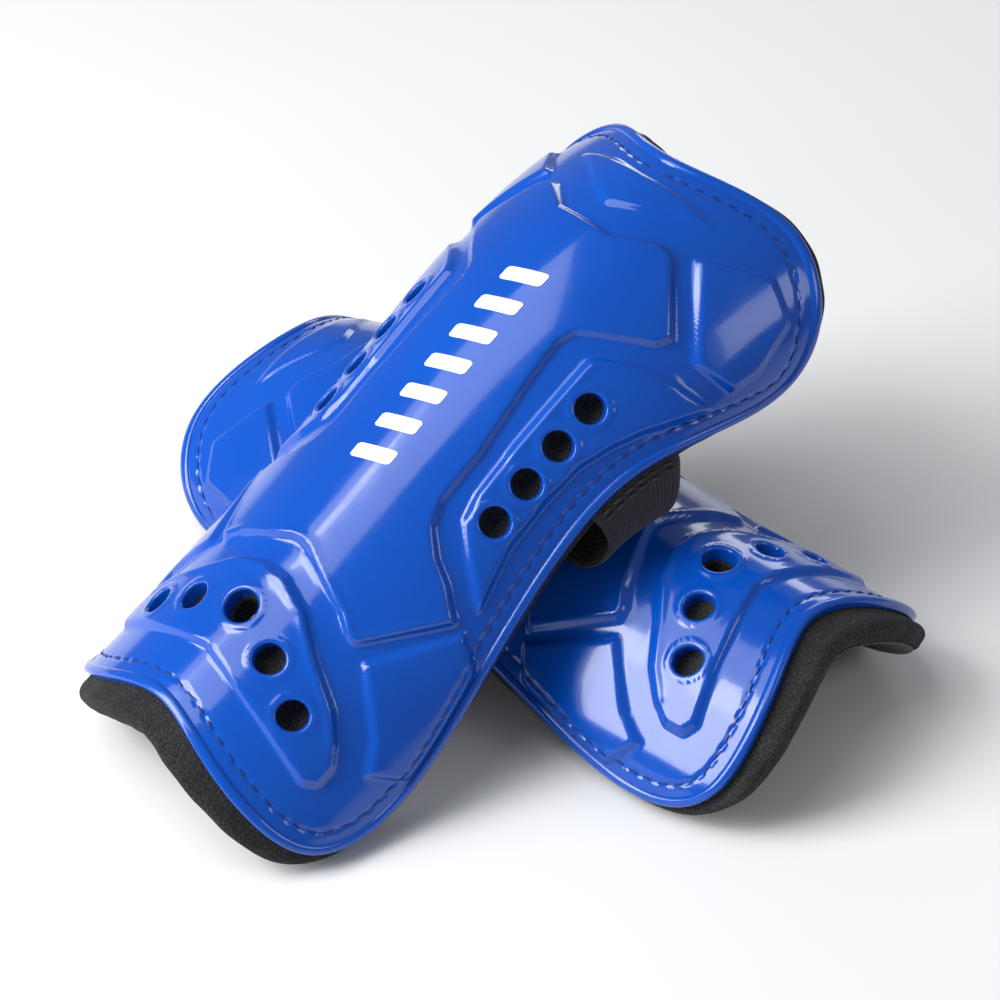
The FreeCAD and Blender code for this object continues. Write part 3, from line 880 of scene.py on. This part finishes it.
def printed_mark(guard):
    build = Build()
    half_angle = MARK_HEIGHT / 2 / HALF_WIDTH
    u, v = np.meshgrid(np.linspace(-1, 1, 29), np.linspace(-1, 1, 11), indexing="ij")
    rounded_u = u * np.sqrt(1 - 0.02 * v ** 8)
    rounded_v = v * np.sqrt(1 - 0.5 * u ** 16)
    for k in range(MARK_BARS):
        middle = MARK_Y + MARK_PITCH * (k - (MARK_BARS - 1) / 2)
        angle = rounded_u * half_angle
        y = middle + MARK_SLANT / 2 * u + MARK_BAR / 2 * rounded_v
        lift = shell_height(angle, y)
        upper = build.add(outer(angle, y, lift + INK_T), normal(angle, y))
        lower = build.add(outer(angle, y, lift - INK_DEPTH), -normal(angle, y))
        build.net(upper)
        build.net(lower, flip=True)
        build.net(np.stack([round_the_rim(upper), round_the_rim(lower)]), closed=True)
    piece = build.make(guard + "_slanted_bars", guard)
    finish_piece(piece, guard + "_guard", "white_print", [guard + "_printed_mark"])


# ---- strap ----
LIFT_TAB = STRAP_T + 2 * PATCH_T + 2 * LAYER_GAP + FIT_GAP  # how much higher the closing band runs
# Places along the stretch that lies down, from 0 at the strap's flank to 1 at the closing band's.
TAB_FREE_END = 0.26
PATCH_SPAN = (0.32, 0.60)
PATCH_SEAM_SPAN = (0.34, 0.58)
STRAP_FREE_END = 0.62
SPLIT = 0.64             # the fold where the closing band starts to peel
RIBS = 20
HALF_T = STRAP_T / 2 + 0.1   # a band's middle above its underside, with its ribs
BAND_STEP = 1.1          # length of a band's mesh faces
BAND_DROP = [(0.5, SHELL_T - 1.0), (3.0, SHELL_T - 1.1), (6.2, SHELL_T - 0.6)]
BAND_SEAM_ROWS = (2.0, 4.0)  # out from the shell's edge


def floor_height(x, y):
    return np.zeros(np.shape(x))


def lower_crest_height(x, y):
    """Height of the lower shell above the floor under a point, with room for its raised panels."""
    angle = np.arcsin(np.clip(x / HALF_WIDTH, -0.98, 0.98))
    along = y + 0.0
    for _ in range(12):
        point = to_row("lower", outer(angle, along, RELIEF_ROOM))
        angle = angle + 0.8 * (x - point[..., 0]) / HALF_WIDTH
        along = along + y - point[..., 1]
    return point[..., 2]


SUPPORT = {"lower": floor_height, "upper": lower_crest_height}


def flank_station(y, side):
    """The edge station on a flank's waist at a given y."""
    low, high = 4.5, 7.5
    for _ in range(40):
        middle = (low + high) / 2
        if edge(middle)[1] > y:
            low = middle
        else:
            high = middle
    return side * middle


def strap_rows(guard, side, lift):
    """Centre points of a band, five abreast: down from one flank to where it lands."""
    rotation = PLACES[guard][0]
    inward = unit(rotation @ np.array([-side, 0.0, 0.0]) * [1, 1, 0])
    columns = []
    for k in range(5):
        s = flank_station(STRAP_Y + STRAP_WIDTH * (k / 4 - 0.5), side)
        points = [to_row(guard, outer(*shifted_edge(s, out), -deep)) for out, deep in BAND_DROP]
        last = points[-1]
        land = last + inward * STRAP_INWARD
        land[2] = SUPPORT[guard](land[0], land[1]) + FIT_GAP + HALF_T + lift
        down = unit(last - points[-2])
        reach = np.linalg.norm(land - last) * 0.45
        bend = [last, last + down * reach, land - inward * reach, land]
        for t in (0.25, 0.5, 0.75, 1.0):
            mix = ((1 - t) ** 3, 3 * t * (1 - t) ** 2, 3 * t * t * (1 - t), t ** 3)
            points.append(sum(p * w for p, w in zip(bend, mix)))
        columns.append(points)
    return np.array(columns).transpose(1, 0, 2)


def run_rows(guard, first, last, steps, lift):
    """Centre points along the stretch that lies down, between two landing rows."""
    starts = strap_rows(guard, 1, 0.0)[-1]
    ends = strap_rows(guard, -1, LIFT_TAB)[-1]
    part = np.linspace(first, last, steps + 1)[:, None, None]
    rows = starts + (ends - starts) * part
    rows[..., 2] = SUPPORT[guard](rows[..., 0], rows[..., 1]) + FIT_GAP + HALF_T + lift
    return rows


def smooth_line(points, count):
    """Points respaced evenly along a curve through the rows of an array."""
    padded = np.concatenate([2 * points[:1] - points[1:2], points, 2 * points[-1:] - points[-2:-1]])
    fine = []
    for a, b, c, d in zip(padded, padded[1:], padded[2:], padded[3:]):
        for t in np.arange(12) / 12:
            fine.append(0.5 * (2 * b + (c - a) * t + (2 * a - 5 * b + 4 * c - d) * t ** 2
                               + (3 * b - a - 3 * c + d) * t ** 3))
    fine.append(points[-1])
    fine = np.array(fine)
    middle = fine.shape[1] // 2
    steps = np.linalg.norm(np.diff(fine[:, middle], axis=0), axis=-1)
    length = np.concatenate([[0], np.cumsum(steps)])
    wanted = np.linspace(0, length[-1], count)
    flat = fine.reshape(len(fine), -1)
    spaced = np.stack([np.interp(wanted, length, column) for column in flat.T], -1)
    return spaced.reshape((count,) + fine.shape[1:])


def band(name, rows, thickness, columns, profile, flip=False):
    """A flat band about rows of centre points; profile gives its half thickness across and along."""
    length = np.linalg.norm(np.diff(smooth_line(rows, 30)[:, 2], axis=0), axis=-1).sum()
    count = int(length / BAND_STEP) + 2
    net = smooth_line(rows, count)
    net = smooth_line(net.transpose(1, 0, 2), columns).transpose(1, 0, 2)
    normals = net_normals(net, flip=flip)
    across = np.linspace(-1, 1, columns)[None, :]
    half = profile(across, np.arange(count)[:, None] * length / count) * thickness / 2
    build = Build()
    top = net + normals * half[..., None]
    under = net - normals * half[..., None]
    upper = build.add(top, net_normals(top, flip=flip))
    lower = build.add(under, -net_normals(under, flip=flip))
    build.net(upper, flip=flip)
    build.net(lower, flip=not flip)
    for pair in ((upper[:, 0], lower[:, 0]), (lower[:, -1], upper[:, -1]), (lower[0], upper[0]),
                 (upper[-1], lower[-1])):
        build.net(np.stack(pair), flip=flip)
    return build.make(name)


def elastic_profile(across, along):
    """Rounded edges and raised ribs along the strap."""
    body = (1 - 0.75 * np.abs(across) ** 14) * (1 + 0 * along)
    ribs = 0.13 * np.cos(2 * np.pi * RIBS * (across + 1) / 2) * (np.abs(across) < 0.94)
    return body * 0.88 + ribs


def patch_profile(across, along):
    """A napped patch: soft edges and a slightly uneven face."""
    body = (1 - 0.5 * np.abs(across) ** 12) * (1 + 0 * along)
    return body * (0.9 + 0.06 * np.sin(across * 41 + along * 1.9) * np.sin(along * 2.3 - across * 17))


def row_of_stitches(build, points, up):
    """A stitch between each two points, standing off the band along up."""
    for k in range(len(points) - 1):
        middle = (points[k] + points[k + 1]) / 2
        forward = unit(points[k + 1] - points[k])
        line = middle + forward * (STITCH_LENGTH * np.linspace(-0.5, 0.5, 6))[:, None]
        add_stitch(build, line + 0.25 * up[k], np.broadcast_to(up[k], line.shape), THREAD_D / 2)


def strap_stitching(guard):
    build = Build()
    for side in (1, -1):
        for out in BAND_SEAM_ROWS:
            y = STRAP_Y + (STRAP_WIDTH - 4.0) * (np.arange(7) / 6 - 0.5)
            s = np.array([flank_station(value, side) for value in y])
            spots = shifted_edge(s, out)
            row_of_stitches(build, outer(*spots, 0.15), normal(*spots))
    piece = build.make(guard + "_strap_seam", guard)
    finish_piece(piece, guard + "_guard", "thread", [guard + "_strap_stitching"])


def patch_stitching(guard):
    rows = run_rows(guard, *PATCH_SEAM_SPAN, 5, LIFT_TAB + STRAP_T / 2 + 0.25)
    rows[:, 0] = (rows[:, 0] * 3 + rows[:, 1]) / 4
    rows[:, -1] = (rows[:, -2] + rows[:, -1] * 3) / 4
    build = Build()
    up = np.tile([0.0, 0.0, 1.0], (6, 1))
    for line in (rows[0], rows[-1], rows[:, 0], rows[:, -1]):
        row_of_stitches(build, line, up)
    piece = build.make(guard + "_patch_seam")
    finish_piece(piece, guard + "_peel_tab", "thread", [guard + "_patch_stitching"])


def strap(guard):
    fall = strap_rows(guard, 1, 0.0)[:-1]
    rise = strap_rows(guard, -1, LIFT_TAB)[:-1]
    whole = run_rows(guard, 0.0, 1.0, 1, 0.0)
    gap = FIT_GAP / 2 / np.linalg.norm(whole[1, 2] - whole[0, 2])
    loop_lift = STRAP_T / 2 + PATCH_T / 2 + LAYER_GAP
    hook_lift = loop_lift + PATCH_T + FIT_GAP
    main = np.concatenate([fall, run_rows(guard, 0.0, STRAP_FREE_END, 6, 0.0)])
    closing = np.concatenate([rise, run_rows(guard, 1.0, SPLIT + gap, 4, LIFT_TAB)])
    tab = run_rows(guard, TAB_FREE_END, SPLIT - gap, 5, LIFT_TAB)
    loop = run_rows(guard, *PATCH_SPAN, 5, loop_lift)
    hook = run_rows(guard, *PATCH_SPAN, 5, hook_lift)
    elastic = (STRAP_T, 121, elastic_profile)
    pile = (PATCH_T, 61, patch_profile)
    for name, rows, look, flip, body, slot, stand_in in (
            ("elastic_strap", main, elastic, False, "_guard", "elastic", "_strap"),
            ("closing_elastic", closing, elastic, True, "_guard", "elastic", "_closing_band"),
            ("tab_elastic", tab, elastic, False, "_peel_tab", "elastic", "_tab_end"),
            ("loop_face", loop, pile, False, "_guard", "hook_and_loop", "_loop_patch"),
            ("hook_face", hook, pile, False, "_peel_tab", "hook_and_loop", "_hook_patch")):
        piece = band(guard + "_" + name, rows, *look, flip)
        finish_piece(piece, guard + body, slot, [guard + stand_in])


for guard in ("lower", "upper"):
    shell(guard)
    foam_pad(guard)
    lining(guard)
    edge_stitching(guard)
    printed_mark(guard)
    strap(guard)
    strap_stitching(guard)
    patch_stitching(guard)


# ---- floor, light and camera ----
FLOOR_HALF = 3.0         # metres
AIM = (0, 0, 0.05)


def floor():
    mesh = bpy.data.meshes.new("floor")
    corners = [(x * FLOOR_HALF, y * FLOOR_HALF, 0) for x, y in ((-1, -1), (1, -1), (1, 1), (-1, 1))]
    mesh.from_pydata(corners, [], [(0, 1, 2, 3)])
    plane = bpy.data.objects.new("floor", mesh)
    bpy.context.scene.collection.objects.link(plane)
    material, tree, shader = new_material("pale_floor", Roughness=0.85)
    colour = ramp(tree, noise(tree, 0.004, 2.0), [(0.3, (0.86, 0.865, 0.87)), (0.7, (0.88, 0.885, 0.89))])
    tree.links.new(colour, shader.inputs["Base Color"])
    mesh.materials.append(material)


def softbox(name, place, size, power):
    """A rectangular light, aimed at the middle of the pair."""
    light = bpy.data.lights.new(name, "AREA")
    light.shape = "RECTANGLE"
    light.size, light.size_y = size
    light.energy = power
    lamp = bpy.data.objects.new(name, light)
    bpy.context.scene.collection.objects.link(lamp)
    lamp.location = place
    lamp.rotation_euler = (Vector(AIM) - Vector(place)).to_track_quat("-Z", "Y").to_euler()


def camera():
    data = bpy.data.cameras.new("camera")
    data.lens = 79.2
    data.sensor_width = 36
    shot = bpy.data.objects.new("camera", data)
    bpy.context.scene.collection.objects.link(shot)
    right = Vector((0.6737, -0.739, -0.0009)).normalized()
    forward = Vector((0.5789, 0.5285, -0.6209)).normalized()
    up = right.cross(forward)
    turned = Matrix((right, up, -forward)).transposed().to_4x4()
    shot.matrix_world = Matrix.Translation((-0.3856, -0.3380, 0.4390)) @ turned
    bpy.context.scene.camera = shot


floor()
softbox("key", (-0.95, 0.55, 0.75), (0.55, 1.1), 20)
softbox("top", (-0.55, 0.35, 1.3), (0.9, 0.9), 8)
softbox("fill", (0.4, -1.0, 0.6), (0.5, 0.35), 1.6)
softbox("back", (0.9, 0.5, 0.35), (0.5, 0.2), 1.2)
camera()
world = bpy.data.worlds.new("studio")
world.use_nodes = True
sky = world.node_tree.nodes["Background"]
sky.inputs["Color"].default_value = (0.93, 0.95, 1.0, 1)
sky.inputs["Strength"].default_value = 0.24
bpy.context.scene.world = world
bpy.context.scene.view_settings.view_transform = "Standard"

bpy.context.view_layer.update()
